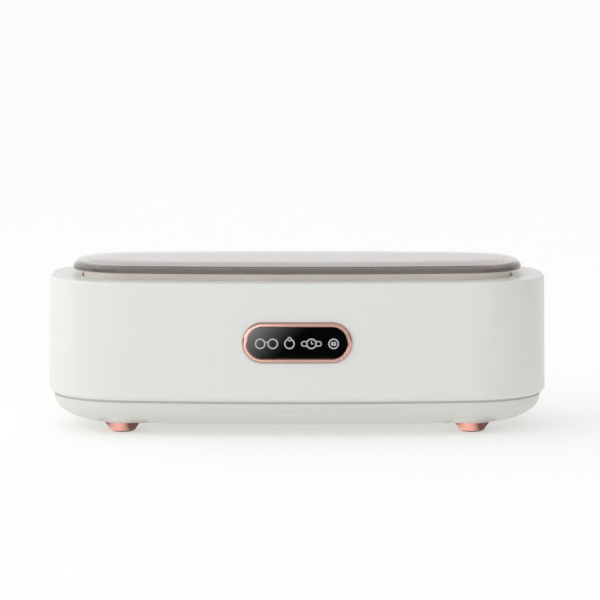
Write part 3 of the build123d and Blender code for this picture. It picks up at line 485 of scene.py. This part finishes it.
def gloss_card(name, place, turn, size, material):
    """A flat card that only reflections see."""
    bpy.ops.object.select_all(action="DESELECT")
    bpy.ops.mesh.primitive_plane_add(size=1, location=place, rotation=turn)
    card = bpy.context.object
    card.name = name
    card.scale = (*size, 1)
    seen_in_gloss_only(card)
    card.data.materials.append(material)
    return card


print("card helpers:", seen_in_gloss_only.__name__, gloss_card.__name__)

# %% Graded card
GRADED_PLACE, GRADED_SIZE = (0, -0.30, 0.0095), (0.052, 0.017)
FACING_BACK = (math.pi / 2, 0, 0)
BRIGHT_CORNER = (-2.0, 0.65, 0)  # towards the upper left of the card
GRADE_LENGTH, GRADE_POWER, GRADE_STRENGTH = 1.3, 2, 4.4
graded, tree, shader, _ = new_material("graded_card")
place = tree.nodes.new("ShaderNodeTexCoord")
across = tree.nodes.new("ShaderNodeVectorMath")
across.operation = "DOT_PRODUCT"
across.inputs[1].default_value = BRIGHT_CORNER
tree.links.new(place.outputs["Object"], across.inputs[0])
ramp = tree.nodes.new("ShaderNodeMapRange")
ramp.inputs["To Max"].default_value = GRADE_LENGTH
ramp.inputs["From Max"].default_value = GRADE_LENGTH
tree.links.new(across.outputs["Value"], ramp.inputs["Value"])
squared = tree.nodes.new("ShaderNodeMath")
squared.operation = "POWER"
squared.inputs[1].default_value = GRADE_POWER
tree.links.new(ramp.outputs["Result"], squared.inputs[0])
strength = tree.nodes.new("ShaderNodeMath")
strength.operation = "MULTIPLY"
strength.inputs[1].default_value = GRADE_STRENGTH
tree.links.new(squared.outputs["Value"], strength.inputs[0])
tree.links.new(strength.outputs["Value"], shader.inputs["Emission Strength"])
shader.inputs["Base Color"].default_value = (0, 0, 0, 1)
shader.inputs["Emission Color"].default_value = (1, 1, 1, 1)
shader.inputs["Specular IOR Level"].default_value = 0
card = gloss_card("graded_card", GRADED_PLACE, FACING_BACK, GRADED_SIZE, graded)
print("card in mm:", [round(1000 * side, 1) for side in card.dimensions])

# %% [markdown]
# ## Cards for the metal and the lid's edge
#
# Metal shows its shape by the edges of what it reflects. In an evenly white room the ring and
# the feet would look like flat peach paint, so plain cards lie and hang out of view. Dark ones
# shade the lid's sloped edge, the outline of the ring and the far sides of the feet. Under each
# foot lies a card that glows bright at its front left and dim at its sides: a cone that narrows
# downwards mirrors the table, so the card paints each foot's highlight and its dark brown
# sides.

# %% Dark cards
def card_material(name):
    """A matt black card, ready for its glow."""
    material, tree, shader, _ = new_material(name)
    shader.inputs["Specular IOR Level"].default_value = 0
    shader.inputs["Base Color"].default_value = (0.02, 0.02, 0.02, 1)
    shader.inputs["Emission Color"].default_value = (1, 1, 1, 1)
    return material, tree, shader


UPRIGHT = (0, math.pi / 2, 0)
FLAT = (0, 0, 0)
UNEVEN = 0.1  # how far a card's glow strays from its mean
GLOW_WAVES = 2
# name: place, turn, size, glow
DARK_CARDS = {
    "card_above": ((0, -0.1, 0.7), FLAT, (1.6, 1.0), 0.35),
    "card_right": ((0.55, -0.2, 0.15), UPRIGHT, (0.32, 0.9), 0.14),
    "card_left": ((-0.30, -0.20, 0.035), UPRIGHT, (0.09, 0.30), 0.10),
    "card_below": ((0, -0.053, 0.0003), FLAT, (0.09, 0.008), 0.10),
}
for name, (place, turn, size, strength) in DARK_CARDS.items():
    material, tree, shader = card_material(name)
    least, most = strength * (1 - UNEVEN), strength * (1 + UNEVEN)
    glow = spread(tree, noise(tree, GLOW_WAVES), least, most)
    tree.links.new(glow, shader.inputs["Emission Strength"])
    gloss_card(name, place, turn, size, material)
print("cards:", list(DARK_CARDS))

# %% Cards under the feet
# painted highlight and shade: each rose-gold foot mirrors this card, bright at its front left
# and dim at its sides
FOOT_CARD = 0.021
ABOVE_TABLE = 0.0002
BRIGHTEST_AT, FALL_OFF = -0.0028, 0.0068
FOOT_BRIGHT, FOOT_DIM = 1.05, 0.16
foot_glow, tree, shader = card_material("foot_glow")
place = tree.nodes.new("ShaderNodeTexCoord")
split = tree.nodes.new("ShaderNodeSeparateXYZ")
tree.links.new(place.outputs["Object"], split.inputs["Vector"])
from_peak = tree.nodes.new("ShaderNodeMath")
from_peak.operation = "MULTIPLY_ADD"
from_peak.inputs[1].default_value = FOOT_CARD / FALL_OFF
from_peak.inputs[2].default_value = -BRIGHTEST_AT / FALL_OFF
tree.links.new(split.outputs["X"], from_peak.inputs[0])
falling = tree.nodes.new("ShaderNodeMath")
falling.operation = "MULTIPLY"
tree.links.new(from_peak.outputs["Value"], falling.inputs[0])
tree.links.new(from_peak.outputs["Value"], falling.inputs[1])
glow = tree.nodes.new("ShaderNodeMapRange")
glow.inputs["To Min"].default_value = FOOT_BRIGHT
glow.inputs["To Max"].default_value = FOOT_DIM
tree.links.new(falling.outputs["Value"], glow.inputs["Value"])
tree.links.new(glow.outputs["Result"], shader.inputs["Emission Strength"])
for foot in feet:
    foot_low, foot_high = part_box(foot)
    middle = [(l + h) / 2 for l, h in zip(foot_low, foot_high)]
    place = (middle[0], middle[1], ABOVE_TABLE)
    gloss_card(f"card_{foot}", place, FLAT, (FOOT_CARD, FOOT_CARD), foot_glow)
print("cards under feet:", len(feet))

# %% [markdown]
# ## Camera
#
# A wide lens close by would make the near edges flare. A long lens from more than a metre away
# keeps them nearly parallel. It looks down only a few degrees, so the lid's top shows as a thin
# strip, and a small shift frames the cleaner without tilting its upright walls.

# %% Camera
DISTANCE = 1.300
LENS, SHIFT_X, SHIFT_Y = 187.7, 0.0047, 0.0565
NEAR, FAR = 0.05, 200
ELEVATION = math.radians(6.7)
AIM = Vector((0, 0, 0.0373))
back = Vector((0, -math.cos(ELEVATION), math.sin(ELEVATION)))
camera_data = bpy.data.cameras.new("camera")
camera_data.lens = LENS
camera_data.shift_x = SHIFT_X
camera_data.shift_y = SHIFT_Y
camera_data.clip_start, camera_data.clip_end = NEAR, FAR
camera = bpy.data.objects.new("camera", camera_data)
bpy.context.scene.collection.objects.link(camera)
camera.location = AIM + back * DISTANCE
camera.rotation_euler = (-back).to_track_quat("-Z", "Y").to_euler()
bpy.context.scene.camera = camera
print("camera at:", [round(v, 3) for v in camera.location])
